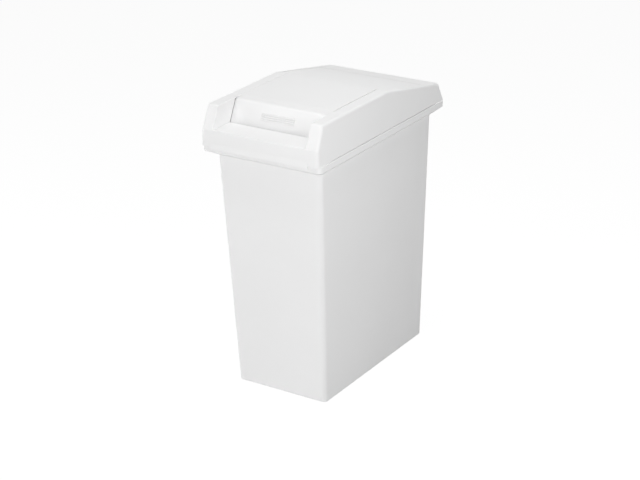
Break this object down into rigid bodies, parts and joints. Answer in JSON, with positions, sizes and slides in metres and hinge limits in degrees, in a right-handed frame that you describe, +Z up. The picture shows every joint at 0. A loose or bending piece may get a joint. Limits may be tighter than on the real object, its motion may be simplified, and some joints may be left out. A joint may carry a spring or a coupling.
{
  "type": "slim kitchen bin",
  "caption": "Slim free-standing kitchen bin: tapered pail, lift-off lid frame and a push flap that swings on pins and falls shut.",
  "frame": {"origin": "on the floor, under the middle of the pail", "axes": "+Z up; -Y is the front, where the flap is pushed; X runs across the slim width"},
  "size_m": [0.2288, 0.3952, 0.5],
  "materials": {
    "pail_plastic": "fine moulded satin, white",
    "lid_plastic": "fine moulded satin, white",
    "flap_plastic": "fine moulded satin, white",
    "pin_plastic": "plain moulded, white"
  },
  "bodies": {
    "pail": {"bin_body": "pail_plastic"},
    "lid": {"lid_frame": "lid_plastic", "pivot_pin_left": "pin_plastic", "pivot_pin_right": "pin_plastic"},
    "flap": {"flap": "flap_plastic"}
  },
  "joints": [
    {"name": "lid_lift", "type": "slide", "parent": "pail", "child": "lid", "axis": [0, 0, 1], "range_m": [0, 0.15]},
    {"name": "flap_swing", "type": "hinge", "parent": "lid", "child": "flap", "pos_m": [0, -0.044, 0.484], "axis": [1, 0, 0], "range_deg": [0, 70]}
  ]
}
